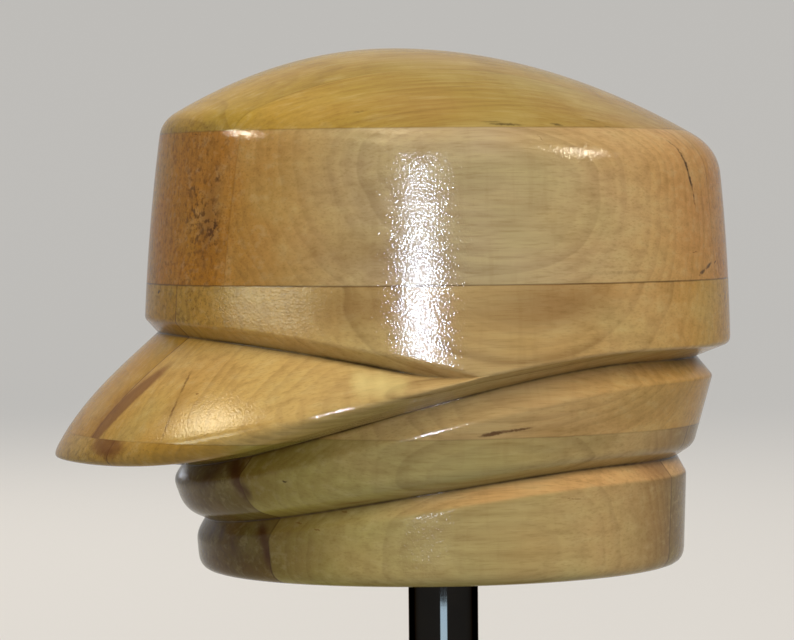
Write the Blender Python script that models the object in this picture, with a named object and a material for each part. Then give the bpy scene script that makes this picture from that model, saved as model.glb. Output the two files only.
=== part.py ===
"""A wooden block for shaping a visored cap, on a round post with a foot.

The block is glued up from four layers of three boards, with the grain from front to back,
and carved as one form. Its front faces -X and the wearer's left side faces -Y. All sizes
are in metres, +Z is up, and the origin is the middle of the foot's underside.

The form is built column by column round the block. A column is the outline of the block
at one angle, from the dome down to the underside, and its corners are ovals that lie a
stated distance outside the head's oval.
"""

import math

import bmesh
import bpy
from mathutils import Vector

# The head's oval, which the base of the block has
HEAD_HALF_LENGTH = 0.0980
HEAD_HALF_WIDTH = 0.0830

# Crown: the dome, its rim and the ridge along the crown's lower edge
DOME_TOP = 0.2061
DOME_TOP_FORWARD = 0.0200
RIM_OUT = 0.0135
RIM_FORWARD = -0.0005
RIM_HEIGHT_FRONT = 0.1778
RIM_HEIGHT_REAR = 0.1650
RIM_REACH_FRONT = 0.0058
RIM_REACH_REAR = 0.0100
RIM_REACH_SIDE_EXTRA = 0.0046
CROWN_OUT = 0.0195
CROWN_FORWARD = 0.0009
CROWN_BULGE = 0.0012
CROWN_RIDGE_REACH_SIDE = 0.0012
CROWN_RIDGE_REACH_REAR = 0.0032
RIDGE_RISE = 0.0199
RIDGE_RISE_POWER = 2.35

# Visor: the notch between it and the crown, its reach and its lip
NOTCH_ANGLE = math.radians(86.0)
NOTCH_IN = 0.0050
NOTCH_DROP = 0.0055
NOTCH_FADE = math.radians(16.0)
VISOR_REACH = 0.0366
VISOR_BULGE = 0.0031
VISOR_LEAN = 0.4
EDGE_HEIGHT_FRONT = 0.0472
EDGE_HEIGHT_REAR = 0.0883
EDGE_SWEEP = math.radians(121.5)
EDGE_REACH_FRONT = 0.0030
EDGE_REACH_SIDE = 0.0014
EDGE_CRISP_ANGLE = math.radians(62.0)
LIP_THICK_FRONT = 0.0008
LIP_THICK_SIDE = 0.0082
LIP_FULL_ANGLE = math.radians(50.0)
LIP_IN = 0.0015
LIP_REACH = 0.0020

# Bands: upper cord groove, band, lower cord groove and base, from the top down
GROOVE_SWEEP = math.radians(127.0)
UPPER_GROOVE_OUT = 0.0050
UPPER_GROOVE_FRONT = 0.0430
UPPER_GROOVE_REAR = 0.0830
BAND_RIDGE_OUT = 0.0106
BAND_RIDGE_FORWARD = -0.0009
BAND_RIDGE_FRONT = 0.0360
BAND_RIDGE_REAR = 0.0752
BAND_RIDGE_SWEEP = math.radians(135.0)
BAND_RIDGE_REACH_FRONT = 0.0024
BAND_RIDGE_REACH_REAR = 0.0009
BAND_EDGE_OUT = 0.0048
BAND_EDGE_FORWARD = 0.0010
BAND_EDGE_FRONT = 0.0250
BAND_EDGE_REAR = 0.0478
BAND_EDGE_REACH_FRONT = 0.0080
BAND_EDGE_REACH_REAR = 0.0028
LOWER_GROOVE_OUT = -0.0030
LOWER_GROOVE_FRONT = 0.0210
LOWER_GROOVE_REAR = 0.0433
BASE_RIDGE_OUT = 0.0008
BASE_RIDGE_FRONT = 0.0141
BASE_RIDGE_REAR = 0.0364
BASE_RIDGE_REACH_FRONT = 0.0028
BASE_RIDGE_REACH_REAR = 0.0010
BASE_TAPER = 0.0012
BASE_REACH = 0.0065

# Boards: glue-line heights above the block's underside, and each layer's left seam
GLUE_HEIGHTS = (0.0565, 0.1140, 0.1724)
LAYER_NAMES = ("base", "visor", "crown", "dome")
LEFT_SEAMS = (0.0485, 0.0320, 0.0565, 0.0530)
BOARD_WIDTH = 0.0980
GLUE_GAP = 0.0003
BLANK_MARGIN = 0.0100

# Post and foot
POST_RADIUS = 0.0140
POST_WALL = 0.0015
POST_SHOWN = 0.0900
POST_IN_BLOCK = 0.0900
FIT_GAP = 0.0003
FOOT_RADIUS = 0.0950
FOOT_THICK = 0.0120
FOOT_EDGE = 0.0030
SOCKET_WALL = 0.0060
SOCKET_HEIGHT = 0.0260
SOCKET_FLOOR = 0.0060
SOCKET_FILLET = 0.0060

# How much of the wall beside it a soft corner may take
CORNER_SHARE = 0.48
RIM_CORNER_SHARE = 0.80

# Fineness of the facets
FRONT_STEPS = 44
REAR_STEPS = 42
DOME_RINGS = 7
ROUND_STEPS = 48

BLOCK_BOTTOM = FOOT_THICK + SOCKET_HEIGHT + POST_SHOWN
POST_BOTTOM = SOCKET_FLOOR + FIT_GAP
POST_TOP = BLOCK_BOTTOM + POST_IN_BLOCK
BORE_RADIUS = POST_RADIUS + FIT_GAP
BORE_TOP = POST_TOP + FIT_GAP


def clear_scene():
    for obj in list(bpy.data.objects):
        bpy.data.objects.remove(obj)


def wave(share):
    """0 at 0 and 1 from 1 on, level at both ends."""
    return 0.5 - 0.5 * math.cos(math.pi * min(max(share, 0.0), 1.0))


def swept(front, rear, turn, sweep=GROOVE_SWEEP):
    """A value that goes from the front's to the rear's within the angle `sweep`."""
    return front + (rear - front) * wave(turn / sweep)


def oval_point(out, height, turn, side, forward=0.0):
    """The point at this angle of the oval that lies `out` outside the head's oval."""
    ahead = (HEAD_HALF_LENGTH + out) * math.cos(turn) + forward
    aside = (HEAD_HALF_WIDTH + out) * math.sin(turn)
    return Vector((-ahead, -side * aside, BLOCK_BOTTOM + height))


def between(first, last, count):
    """`count` shares evenly spaced strictly between the two ends."""
    return [first + (last - first) * (i + 1) / (count + 1) for i in range(count)]


def rounded(before, corner, after, reach, steps, most=CORNER_SHARE):
    """A soft corner that starts and ends `reach` from the corner, or nearer on a short wall."""
    back, ahead = before - corner, after - corner
    start = corner + back.normalized() * min(reach, most * back.length)
    end = corner + ahead.normalized() * min(reach, most * ahead.length)
    shares = [i / steps for i in range(steps + 1)]
    return [start.lerp(corner, s).lerp(corner.lerp(end, s), s) for s in shares]


def visor_reach(turn):
    """How far the visor's edge stands outside the crown's ridge at this angle."""
    return VISOR_REACH * math.sqrt(1.0 - wave(turn / NOTCH_ANGLE))


def edge_height(turn):
    return swept(EDGE_HEIGHT_FRONT, EDGE_HEIGHT_REAR, turn, EDGE_SWEEP)


def ridge_height(turn):
    """The crown's lower ridge: it rises forward from where the notch begins."""
    if turn >= NOTCH_ANGLE:
        return edge_height(turn)
    return edge_height(NOTCH_ANGLE) + RIDGE_RISE * (1.0 - (turn / NOTCH_ANGLE) ** RIDGE_RISE_POWER)


def dome_points(turn, side, rim):
    """The dome from near its top out to the rim, steeper the further out."""
    top = Vector((-DOME_TOP_FORWARD, 0.0, BLOCK_BOTTOM + DOME_TOP))
    points = []
    for share in between(0.0, 1.0, DOME_RINGS):
        point = top.lerp(rim, share)
        point.z = top.z - (top.z - rim.z) * share * share
        points.append(point)
    return points


def wall_points(upper, lower, bulge, turn, side, lean=0.0):
    """Points on the wall between two corners. It bulges outward and up, more at its lower half
    the greater the lean."""
    swell = Vector((-0.75 * math.cos(turn), -0.75 * side * math.sin(turn), 0.65)) * bulge
    points = []
    for share in between(0.0, 1.0, 3):
        height = 4.0 * share * (1.0 - share) * (1.0 + lean * (2.0 * share - 1.0))
        points.append(upper.lerp(lower, share) + swell * height)
    return points


def crown_ridge_point(turn, side):
    return oval_point(CROWN_OUT, ridge_height(turn), turn, side, CROWN_FORWARD)


def crown_ridge_reach(turn):
    """The crown's ridge is crisp round the front and sides, and softer at the rear."""
    past_side = wave((turn - GROOVE_SWEEP) / (math.pi - GROOVE_SWEEP))
    return CROWN_RIDGE_REACH_SIDE + (CROWN_RIDGE_REACH_REAR - CROWN_RIDGE_REACH_SIDE) * past_side


def crown_and_visor_points(turn, side, above, below):
    """The crown's ridge, the notch and the visor. Behind the notch they are one ridge."""
    ridge_point = crown_ridge_point(turn, side)
    if turn >= NOTCH_ANGLE:
        reach = crown_ridge_reach(turn) * wave((turn - NOTCH_ANGLE) / NOTCH_FADE)
        soft = rounded(above, ridge_point, below, reach, 6)
        return soft[:4] + [soft[3]] * 5 + soft[4:]
    depth = min(1.0, (NOTCH_ANGLE - turn) / NOTCH_FADE)
    depth = depth * (2.0 - depth)
    crease = (CROWN_OUT - NOTCH_IN * depth, ridge_height(turn) - NOTCH_DROP * depth)
    edge = (CROWN_OUT + visor_reach(turn), edge_height(turn))
    crease_point = oval_point(*crease, turn, side, CROWN_FORWARD)
    edge_point = oval_point(*edge, turn, side, CROWN_FORWARD)
    bulge = VISOR_BULGE * visor_reach(turn) / VISOR_REACH
    top = wall_points(crease_point, edge_point, bulge, turn, side, VISOR_LEAN)
    reach = crown_ridge_reach(turn) * depth
    soft_ridge = rounded(above, ridge_point, crease_point, reach, 3)
    reach = swept(EDGE_REACH_FRONT, EDGE_REACH_SIDE, turn, EDGE_CRISP_ANGLE) * depth
    soft_edge = rounded(top[-1], edge_point, below, reach, 3)
    return soft_ridge + [crease_point] + top + soft_edge


def column(turn, side):
    """The block's outline at one angle, from beside the dome's top down to the underside."""
    rim_height = swept(RIM_HEIGHT_FRONT, RIM_HEIGHT_REAR, turn, math.pi)
    rim = oval_point(RIM_OUT, rim_height, turn, side, RIM_FORWARD)
    dome = dome_points(turn, side, rim)
    crown = wall_points(rim, crown_ridge_point(turn, side), CROWN_BULGE, turn, side)

    groove_height = swept(UPPER_GROOVE_FRONT, UPPER_GROOVE_REAR, turn)
    upper_groove = oval_point(UPPER_GROOVE_OUT, groove_height, turn, side)
    edge_out = CROWN_OUT + (visor_reach(turn) if turn < NOTCH_ANGLE else 0.0)
    edge = oval_point(edge_out, edge_height(turn), turn, side, CROWN_FORWARD)
    thick = LIP_THICK_FRONT + (LIP_THICK_SIDE - LIP_THICK_FRONT) * wave(turn / LIP_FULL_ANGLE)
    lip = oval_point(edge_out - LIP_IN, edge_height(turn) - thick, turn, side, CROWN_FORWARD)
    lip = lip.lerp(edge.lerp(upper_groove, 0.3), wave(turn / NOTCH_ANGLE) ** 2)

    band_ridge = oval_point(
        BAND_RIDGE_OUT,
        swept(BAND_RIDGE_FRONT, BAND_RIDGE_REAR, turn, BAND_RIDGE_SWEEP),
        turn, side, BAND_RIDGE_FORWARD,
    )
    band_edge = oval_point(
        BAND_EDGE_OUT, swept(BAND_EDGE_FRONT, BAND_EDGE_REAR, turn), turn, side, BAND_EDGE_FORWARD
    )
    lower_groove = oval_point(
        LOWER_GROOVE_OUT, swept(LOWER_GROOVE_FRONT, LOWER_GROOVE_REAR, turn), turn, side
    )
    base_ridge = oval_point(
        BASE_RIDGE_OUT, swept(BASE_RIDGE_FRONT, BASE_RIDGE_REAR, turn), turn, side
    )
    bottom = oval_point(BASE_RIDGE_OUT - BASE_TAPER, 0.0, turn, side)
    inside = oval_point(BASE_RIDGE_OUT - BASE_TAPER - 4.0 * BASE_REACH, 0.0, turn, side)

    rim_reach = swept(RIM_REACH_FRONT, RIM_REACH_REAR, turn, math.pi)
    rim_reach += RIM_REACH_SIDE_EXTRA * math.sin(turn) ** 2
    band_ridge_reach = swept(BAND_RIDGE_REACH_FRONT, BAND_RIDGE_REACH_REAR, turn)
    band_edge_reach = swept(BAND_EDGE_REACH_FRONT, BAND_EDGE_REACH_REAR, turn)
    base_ridge_reach = swept(BASE_RIDGE_REACH_FRONT, BASE_RIDGE_REACH_REAR, turn)
    points = dome
    points += rounded(dome[-1], rim, crown[0], rim_reach, 6, RIM_CORNER_SHARE)
    points += crown
    points += crown_and_visor_points(turn, side, crown[-1], lip)
    points += rounded(edge, lip, upper_groove, LIP_REACH, 2)
    points += [upper_groove]
    points += rounded(upper_groove, band_ridge, band_edge, band_ridge_reach, 2)
    points += rounded(band_ridge, band_edge, lower_groove, band_edge_reach, 3)
    points += [lower_groove]
    points += rounded(lower_groove, base_ridge, bottom, base_ridge_reach, 2)
    points += rounded(base_ridge, bottom, inside, BASE_REACH, 3)
    return points


def column_angles():
    """Angles from the front round the left side, the rear and the right side."""
    front = [NOTCH_ANGLE * i / (FRONT_STEPS // 2) for i in range(FRONT_STEPS // 2)]
    rear_turn = math.pi - NOTCH_ANGLE
    rear = [NOTCH_ANGLE + rear_turn * i / (REAR_STEPS // 2) for i in range(REAR_STEPS // 2 + 1)]
    left = front + rear
    right = left[-2:0:-1]
    return [(turn, 1.0) for turn in left] + [(turn, -1.0) for turn in right]


def carved_form():
    """The whole carved block as one mesh, which trims every board to its shape."""
    mesh = bmesh.new()
    columns = [[mesh.verts.new(p) for p in column(turn, side)] for turn, side in column_angles()]
    top = mesh.verts.new((-DOME_TOP_FORWARD, 0.0, BLOCK_BOTTOM + DOME_TOP))
    for here, there in zip(columns, columns[1:] + columns[:1]):
        mesh.faces.new((top, here[0], there[0]))
        for row in range(len(here) - 1):
            mesh.faces.new((here[row], here[row + 1], there[row + 1], there[row]))
    mesh.faces.new([line[-1] for line in reversed(columns)])
    bmesh.ops.remove_doubles(mesh, verts=mesh.verts, dist=0.00001)
    bmesh.ops.recalc_face_normals(mesh, faces=mesh.faces)
    form = mesh_object("carved_form", mesh)
    as_guide(form)
    return form


def mesh_object(name, mesh):
    data = bpy.data.meshes.new(name)
    mesh.to_mesh(data)
    mesh.free()
    obj = bpy.data.objects.new(name, data)
    bpy.context.scene.collection.objects.link(obj)
    data.shade_smooth()
    data.set_sharp_from_angle(angle=math.radians(25.0))
    return obj


def as_guide(obj):
    obj.hide_render = True
    obj.display_type = "WIRE"


def box(name, low, high):
    mesh = bmesh.new()
    bmesh.ops.create_cube(mesh, size=1.0)
    low, high = Vector(low), Vector(high)
    bmesh.ops.scale(mesh, vec=high - low, verts=mesh.verts)
    bmesh.ops.translate(mesh, vec=(low + high) / 2.0, verts=mesh.verts)
    return mesh_object(name, mesh)


def turned(name, profile, steps=ROUND_STEPS):
    """A solid of revolution round Z from (radius, height) points that form a closed outline."""
    mesh = bmesh.new()
    verts = [mesh.verts.new((radius, 0.0, height)) for radius, height in profile]
    edges = [mesh.edges.new(pair) for pair in zip(verts, verts[1:] + verts[:1])]
    bmesh.ops.spin(
        mesh, geom=verts + edges, axis=(0.0, 0.0, 1.0), cent=(0.0, 0.0, 0.0),
        angle=2.0 * math.pi, steps=steps, use_merge=True,
    )
    bmesh.ops.remove_doubles(mesh, verts=mesh.verts, dist=0.00001)
    bmesh.ops.recalc_face_normals(mesh, faces=mesh.faces)
    return mesh_object(name, mesh)


def boolean(obj, other, operation):
    modifier = obj.modifiers.new(operation.lower(), "BOOLEAN")
    modifier.operation = operation
    modifier.solver = "EXACT"
    modifier.object = other


def material(name, color, roughness, metallic=0.0, coat=0.0):
    made = bpy.data.materials.new(name)
    made.use_nodes = True
    shader = made.node_tree.nodes["Principled BSDF"]
    shader.inputs["Base Color"].default_value = (*color, 1.0)
    shader.inputs["Roughness"].default_value = roughness
    shader.inputs["Metallic"].default_value = metallic
    shader.inputs["Coat Weight"].default_value = coat
    made.diffuse_color = (*color, 1.0)
    return made


def board_spans(layer):
    """The (name, low y, high y) of a layer's boards, from the left side to the right."""
    far = HEAD_HALF_WIDTH + CROWN_OUT + VISOR_REACH + BLANK_MARGIN
    left_seam = -LEFT_SEAMS[layer]
    right_seam = left_seam + BOARD_WIDTH
    half = GLUE_GAP / 2.0
    return (
        ("left", -far, left_seam - half),
        ("middle", left_seam + half, right_seam - half),
        ("right", right_seam + half, far),
    )


def boards(form, bore):
    """Twelve board blanks, each cut to the carved form, and bored where the post goes in."""
    half = GLUE_GAP / 2.0
    bottoms = [-BLANK_MARGIN] + [height + half for height in GLUE_HEIGHTS]
    tops = [height - half for height in GLUE_HEIGHTS] + [DOME_TOP + BLANK_MARGIN]
    front = -(HEAD_HALF_LENGTH + CROWN_OUT + VISOR_REACH + CROWN_FORWARD + BLANK_MARGIN)
    rear = HEAD_HALF_LENGTH + CROWN_OUT + BLANK_MARGIN
    for layer, layer_name in enumerate(LAYER_NAMES):
        for place, low, high in board_spans(layer):
            name = f"{layer_name}_board_{place}"
            board = box(
                name,
                (front, low, BLOCK_BOTTOM + bottoms[layer]),
                (rear, high, BLOCK_BOTTOM + tops[layer]),
            )
            boolean(board, form, "INTERSECT")
            if place == "middle" and BLOCK_BOTTOM + bottoms[layer] < BORE_TOP:
                boolean(board, bore, "DIFFERENCE")
            shade = 0.92 + 0.04 * ((layer + len(place)) % 3)
            color = (0.50 * shade, 0.33 * shade, 0.13 * shade)
            board.data.materials.append(material(f"lacquered_lime_{name}", color, 0.28, coat=0.6))


def bore_cutter():
    top = BORE_TOP
    bottom = BLOCK_BOTTOM - BLANK_MARGIN
    cutter = turned("post_bore", [(0.0, bottom), (BORE_RADIUS, bottom), (BORE_RADIUS, top), (0.0, top)])
    as_guide(cutter)
    return cutter


def post():
    inner = POST_RADIUS - POST_WALL
    outline = [
        (inner, POST_BOTTOM), (POST_RADIUS, POST_BOTTOM), (POST_RADIUS, POST_TOP), (inner, POST_TOP)
    ]
    tube = turned("post", outline)
    tube.data.materials.append(material("smoked_chrome_tube", (0.045, 0.045, 0.050), 0.08, 1.0))


def arc(centre, radius, start, end, steps):
    """(radius, height) points on a quarter turn or other arc, angles in degrees."""
    angles = [math.radians(start + (end - start) * i / steps) for i in range(steps + 1)]
    return [(centre[0] + radius * math.cos(a), centre[1] + radius * math.sin(a)) for a in angles]


def foot():
    """A round steel foot with a raised socket that the post stands and turns in."""
    bore = POST_RADIUS + FIT_GAP
    wall = bore + SOCKET_WALL
    top = FOOT_THICK + SOCKET_HEIGHT
    outline = [(0.0, 0.0), (FOOT_RADIUS - FOOT_EDGE / 2.0, 0.0), (FOOT_RADIUS, FOOT_EDGE / 2.0)]
    outline += arc((FOOT_RADIUS - FOOT_EDGE, FOOT_THICK - FOOT_EDGE), FOOT_EDGE, 0.0, 90.0, 4)
    outline += arc((wall + SOCKET_FILLET, FOOT_THICK + SOCKET_FILLET), SOCKET_FILLET, 270.0, 180.0, 4)
    outline += [(wall, top - FOOT_EDGE / 2.0), (wall - FOOT_EDGE / 2.0, top)]
    outline += [(bore, top), (bore, SOCKET_FLOOR), (0.0, SOCKET_FLOOR)]
    base = turned("foot", outline, 64)
    base.data.materials.append(material("satin_steel_foot", (0.35, 0.35, 0.35), 0.3, 1.0))


def main():
    clear_scene()
    form = carved_form()
    bore = bore_cutter()
    boards(form, bore)
    post()
    foot()


main()
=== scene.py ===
import math

import bpy
from mathutils import Matrix, Vector


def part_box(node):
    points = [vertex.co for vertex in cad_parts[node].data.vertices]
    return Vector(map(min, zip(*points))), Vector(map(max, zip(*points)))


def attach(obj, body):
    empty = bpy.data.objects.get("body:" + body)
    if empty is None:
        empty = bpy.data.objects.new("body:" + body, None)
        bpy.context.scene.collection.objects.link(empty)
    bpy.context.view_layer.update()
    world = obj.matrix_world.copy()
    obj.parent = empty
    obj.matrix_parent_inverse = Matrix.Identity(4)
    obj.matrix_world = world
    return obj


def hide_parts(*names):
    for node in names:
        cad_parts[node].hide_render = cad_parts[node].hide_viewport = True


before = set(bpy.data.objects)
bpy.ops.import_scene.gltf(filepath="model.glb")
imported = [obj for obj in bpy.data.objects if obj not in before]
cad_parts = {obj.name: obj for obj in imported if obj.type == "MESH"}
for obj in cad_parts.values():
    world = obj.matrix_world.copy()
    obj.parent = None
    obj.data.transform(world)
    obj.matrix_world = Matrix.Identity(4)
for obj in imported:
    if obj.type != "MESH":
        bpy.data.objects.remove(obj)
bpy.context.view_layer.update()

MM = 0.001
HALF = (0.5, 0.5, 0.5)
# A range that eases in and out
SMOOTH = {"interpolation_type": "SMOOTHSTEP"}

LAYERS = ("base", "visor", "crown", "dome")
PLACES = ("left", "middle", "right")

BLOCK_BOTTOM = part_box("base_board_middle")[0].z
POST_LOW, POST_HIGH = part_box("post")
FOOT_LOW, FOOT_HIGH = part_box("foot")
HALF_GAP = 0.15 * MM
CLEARANCE = 0.3 * MM
POST_RADIUS = (POST_HIGH.x - POST_LOW.x) / 2.0

GLUE_HEIGHTS = [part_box(f"{layer}_board_middle")[1].z + HALF_GAP for layer in LAYERS[:3]]
SEAMS = {
    layer: (
        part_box(f"{layer}_board_middle")[0].y - HALF_GAP,
        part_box(f"{layer}_board_middle")[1].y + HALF_GAP,
    )
    for layer in LAYERS
}


def colour(text):
    """An sRGB hex colour as the linear colour that the shaders take."""
    parts = [int(text[i:i + 2], 16) / 255.0 for i in (1, 3, 5)]
    return [v / 12.92 if v <= 0.04045 else ((v + 0.055) / 1.055) ** 2.4 for v in parts] + [1.0]


def fill(tree, node, inputs):
    """Sets a node's inputs. One that is given a node or a socket is linked to it."""
    for key, value in inputs.items():
        if isinstance(value, bpy.types.Node):
            value = value.outputs[0]
        if isinstance(value, bpy.types.NodeSocket):
            tree.links.new(value, node.inputs[key])
        else:
            node.inputs[key].default_value = value


def add(tree, kind, inputs=None, **settings):
    """Adds a shader node with its settings and its inputs."""
    node = tree.nodes.new("ShaderNode" + kind)
    for name, value in settings.items():
        setattr(node, name, value)
    fill(tree, node, inputs or {})
    return node


def new_finish(name):
    """A new material with its nodes and its shader."""
    made = bpy.data.materials.new(name)
    made.use_nodes = True
    return made, made.node_tree, made.node_tree.nodes["Principled BSDF"]


def wear(piece, finish):
    """Gives a piece its one finish."""
    piece.data.materials.clear()
    piece.data.materials.append(finish)


def select_only(piece):
    bpy.ops.object.select_all(action="DESELECT")
    piece.select_set(True)
    bpy.context.view_layer.objects.active = piece


# The carved form. Its outline at each angle round the block goes from the dome's top down to
# the underside, in mm above the underside, and its corners are ovals that lie a stated
# distance outside the head's oval.

HEAD_HALF_LENGTH, HEAD_HALF_WIDTH = 98.0, 83.0
DOME_TOP, DOME_TOP_FORWARD = 206.1, 20.0
RIM_OUT, RIM_FORWARD = 13.5, -0.5
CROWN_OUT, CROWN_FORWARD, CROWN_BULGE = 19.5, 0.9, 1.2
NOTCH_ANGLE, NOTCH_FADE = math.radians(86.0), math.radians(16.0)
NOTCH_IN, NOTCH_DROP = 5.0, 5.5
# From this share of its depth on, the notch parts the visor wholly from the crown
NOTCH_PARTED = 0.35
VISOR_REACH, VISOR_BULGE, VISOR_LEAN = 36.6, 3.1, 0.4
EDGE_SWEEP, GROOVE_SWEEP = math.radians(121.5), math.radians(127.0)
BAND_RIDGE_SWEEP = math.radians(135.0)
UPPER_GROOVE_OUT, LOWER_GROOVE_OUT = 5.0, -3.0
BAND_RIDGE_OUT, BAND_RIDGE_FORWARD = 10.6, -0.9
BAND_EDGE_OUT, BAND_EDGE_FORWARD = 4.8, 1.0
BASE_OUT, BASE_TAPER, BASE_REACH = 0.8, 1.2, 6.5
CREASE_REACH = 0.35
LIP_IN, LIP_REACH = 1.5, 3.0
LIP_THINNEST, LIP_GAIN, LIP_SWEEP = 0.8, 7.4, math.radians(50.0)

# Heights and roundings of corners: at the front, and at the rear
RIM_HEIGHTS, RIM_REACHES = (177.8, 165.0), (5.8, 10.0)
EDGE_HEIGHTS, EDGE_REACHES = (47.2, 88.3), (4.0, 3.6)
UPPER_GROOVE_HEIGHTS, LOWER_GROOVE_HEIGHTS = (43.0, 83.0), (21.0, 43.3)
BAND_RIDGE_HEIGHTS, BAND_RIDGE_REACHES = (36.0, 75.2), (2.4, 0.9)
BAND_EDGE_HEIGHTS, BAND_EDGE_REACHES = (25.0, 47.8), (8.0, 2.8)
BASE_RIDGE_HEIGHTS, BASE_RIDGE_REACHES = (14.1, 36.4), (2.8, 1.0)
EDGE_REACH_SWEEP = math.radians(62.0)
RIM_SIDE_REACH = 4.6
RIDGE_REACH, RIDGE_REAR_GAIN = 1.2, 2.0
RIDGE_RISE, RIDGE_RISE_POWER = 19.9, 2.35

# The most of a wall that a soft corner takes up
MOST_OF_WALL = 0.48

# Distances from the nearest groove: at the dome's top, and added where the notch runs out
FAR_FROM_GROOVES, NOTCH_RUN_OUT = 60.0, 12.0

FRONT_STEPS, REAR_STEPS = 92, 88
DOME_ROWS, RIM_ROWS, WALL_ROWS, VISOR_ROWS, RIDGE_ROWS, CREASE_ROWS = 34, 12, 16, 14, 6, 3


def wave(share):
    """0 at 0 and 1 from 1 on, level at both ends."""
    return 0.5 - 0.5 * math.cos(math.pi * min(max(share, 0.0), 1.0))


def swept(front, rear, half, sweep=GROOVE_SWEEP):
    """A value that goes from the front's to the rear's within the angle `sweep`."""
    return front + (rear - front) * wave(half / sweep)


def oval(out, height, turn, forward=0.0):
    return Vector((
        -(HEAD_HALF_LENGTH + out) * math.cos(turn) - forward,
        -(HEAD_HALF_WIDTH + out) * math.sin(turn),
        height,
    ))


def rounded(before, corner, after, reach, rows):
    """A soft corner that starts and ends `reach` from the corner, or nearer on a short wall."""
    back, ahead = before - corner, after - corner
    start = corner + back.normalized() * min(reach, MOST_OF_WALL * back.length)
    end = corner + ahead.normalized() * min(reach, MOST_OF_WALL * ahead.length)
    shares = [i / rows for i in range(rows + 1)]
    return [start.lerp(corner, s).lerp(corner.lerp(end, s), s) for s in shares]


def straight(first, last):
    return lambda share: first.lerp(last, share)


def domed(top, rim):
    """A wall that falls away more steeply the further out."""
    def point(share):
        place = top.lerp(rim, share)
        place.z = top.z - (top.z - rim.z) * share * share
        return place
    return point


def swelling(upper, lower, bulge, turn, lean=0.0):
    """A wall that swells outward and up between two corners, more at its lower half."""
    swell = Vector((-0.75 * math.cos(turn), -0.75 * math.sin(turn), 0.65)) * bulge
    return lambda s: upper.lerp(lower, s) + swell * 4.0 * s * (1.0 - s) * (1.0 + lean * (2.0 * s - 1.0))


def share_of(wall, reach):
    return min(reach / max((wall(1.0) - wall(0.0)).length, 0.001), MOST_OF_WALL)


def along(wall, low, high, rows):
    """Points on a wall, evenly spaced strictly between two shares of it."""
    return [wall(low + (high - low) * (i + 1) / (rows + 1)) for i in range(rows)]


def bend(before, after, reach, rows):
    """A soft corner between two curved walls, which runs on from both without a kink."""
    leave, join = 1.0 - share_of(before, reach), share_of(after, reach)
    start, end = before(leave), after(join)
    ahead = (start - before(leave - 0.01)).normalized() * (before(1.0) - start).length * 2.0 / 3.0
    back = (end - after(join + 0.01)).normalized() * (end - after(0.0)).length * 2.0 / 3.0
    points = []
    for i in range(rows + 1):
        s = i / rows
        first = start.lerp(start + ahead, s)
        middle = (start + ahead).lerp(end + back, s)
        last = (end + back).lerp(end, s)
        points.append(first.lerp(middle, s).lerp(middle.lerp(last, s), s))
    return points


def visor_reach(half):
    return VISOR_REACH * math.sqrt(1.0 - wave(half / NOTCH_ANGLE))


def edge_height(half):
    return swept(*EDGE_HEIGHTS, half, EDGE_SWEEP)


def ridge_height(half):
    """The crown's lower ridge: it rises forward from where the notch begins."""
    if half >= NOTCH_ANGLE:
        return edge_height(half)
    return edge_height(NOTCH_ANGLE) + RIDGE_RISE * (1.0 - (half / NOTCH_ANGLE) ** RIDGE_RISE_POWER)


def crown_ridge_reach(half):
    """The crown's lower ridge is crisp round the front and sides, and softer at the rear."""
    return RIDGE_REACH + RIDGE_REAR_GAIN * wave((half - GROOVE_SWEEP) / (math.pi - GROOVE_SWEEP))


def notch_depth(half):
    """The notch's share of its full depth: it fades out towards the side."""
    depth = min(1.0, (NOTCH_ANGLE - half) / NOTCH_FADE)
    return depth * (2.0 - depth)


def notch_crease(turn, half):
    depth = notch_depth(half)
    height = ridge_height(half) - NOTCH_DROP * depth
    return oval(CROWN_OUT - NOTCH_IN * depth, height, turn, CROWN_FORWARD)


def crown_and_visor(turn, half, crown, lip):
    """The crown's ridge, the notch and the visor. Behind the notch they are one ridge, out of
    which they grow. `crown` is the wall above the ridge, and `lip` the wall below the visor's
    edge."""
    reach = crown_ridge_reach(half)
    rows = 2 * RIDGE_ROWS + VISOR_ROWS + CREASE_ROWS + 3
    soft = bend(crown, lip, reach, 2 * RIDGE_ROWS)
    one_ridge = soft[:RIDGE_ROWS] + [soft[RIDGE_ROWS]] * (rows - 2 * RIDGE_ROWS) + soft[RIDGE_ROWS:]
    if half >= NOTCH_ANGLE:
        return one_ridge
    ridge, edge = crown(1.0), lip(0.0)
    depth = notch_depth(half)
    crease = notch_crease(turn, half)
    undercut = straight(ridge, crease)
    top = swelling(crease, edge, VISOR_BULGE * visor_reach(half) / VISOR_REACH, turn, VISOR_LEAN)
    edge_reach = swept(*EDGE_REACHES, half, EDGE_REACH_SWEEP) * depth
    soft_ridge = bend(crown, undercut, reach, RIDGE_ROWS)
    soft_crease = bend(undercut, top, CREASE_REACH * depth, CREASE_ROWS)
    soft_edge = bend(top, lip, edge_reach, RIDGE_ROWS)
    shown = along(top, share_of(top, CREASE_REACH * depth), 1.0 - share_of(top, edge_reach), VISOR_ROWS)
    notched = soft_ridge + [soft_ridge[-1].lerp(soft_crease[0], 0.5)] + soft_crease + shown + soft_edge
    return [whole.lerp(split, wave(depth / NOTCH_PARTED)) for whole, split in zip(one_ridge, notched)]


def beside(crease, point):
    """How far a point lies from a groove's crease. The slope above it, which faces down, is
    darkened further out as painted shade, so that the slope below counts as further off."""
    away = point - crease
    return away.length * (1.0 if away.z > 0.0 else 1.0 + 1.8 * min(1.0, -away.z / 2.0))


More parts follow.
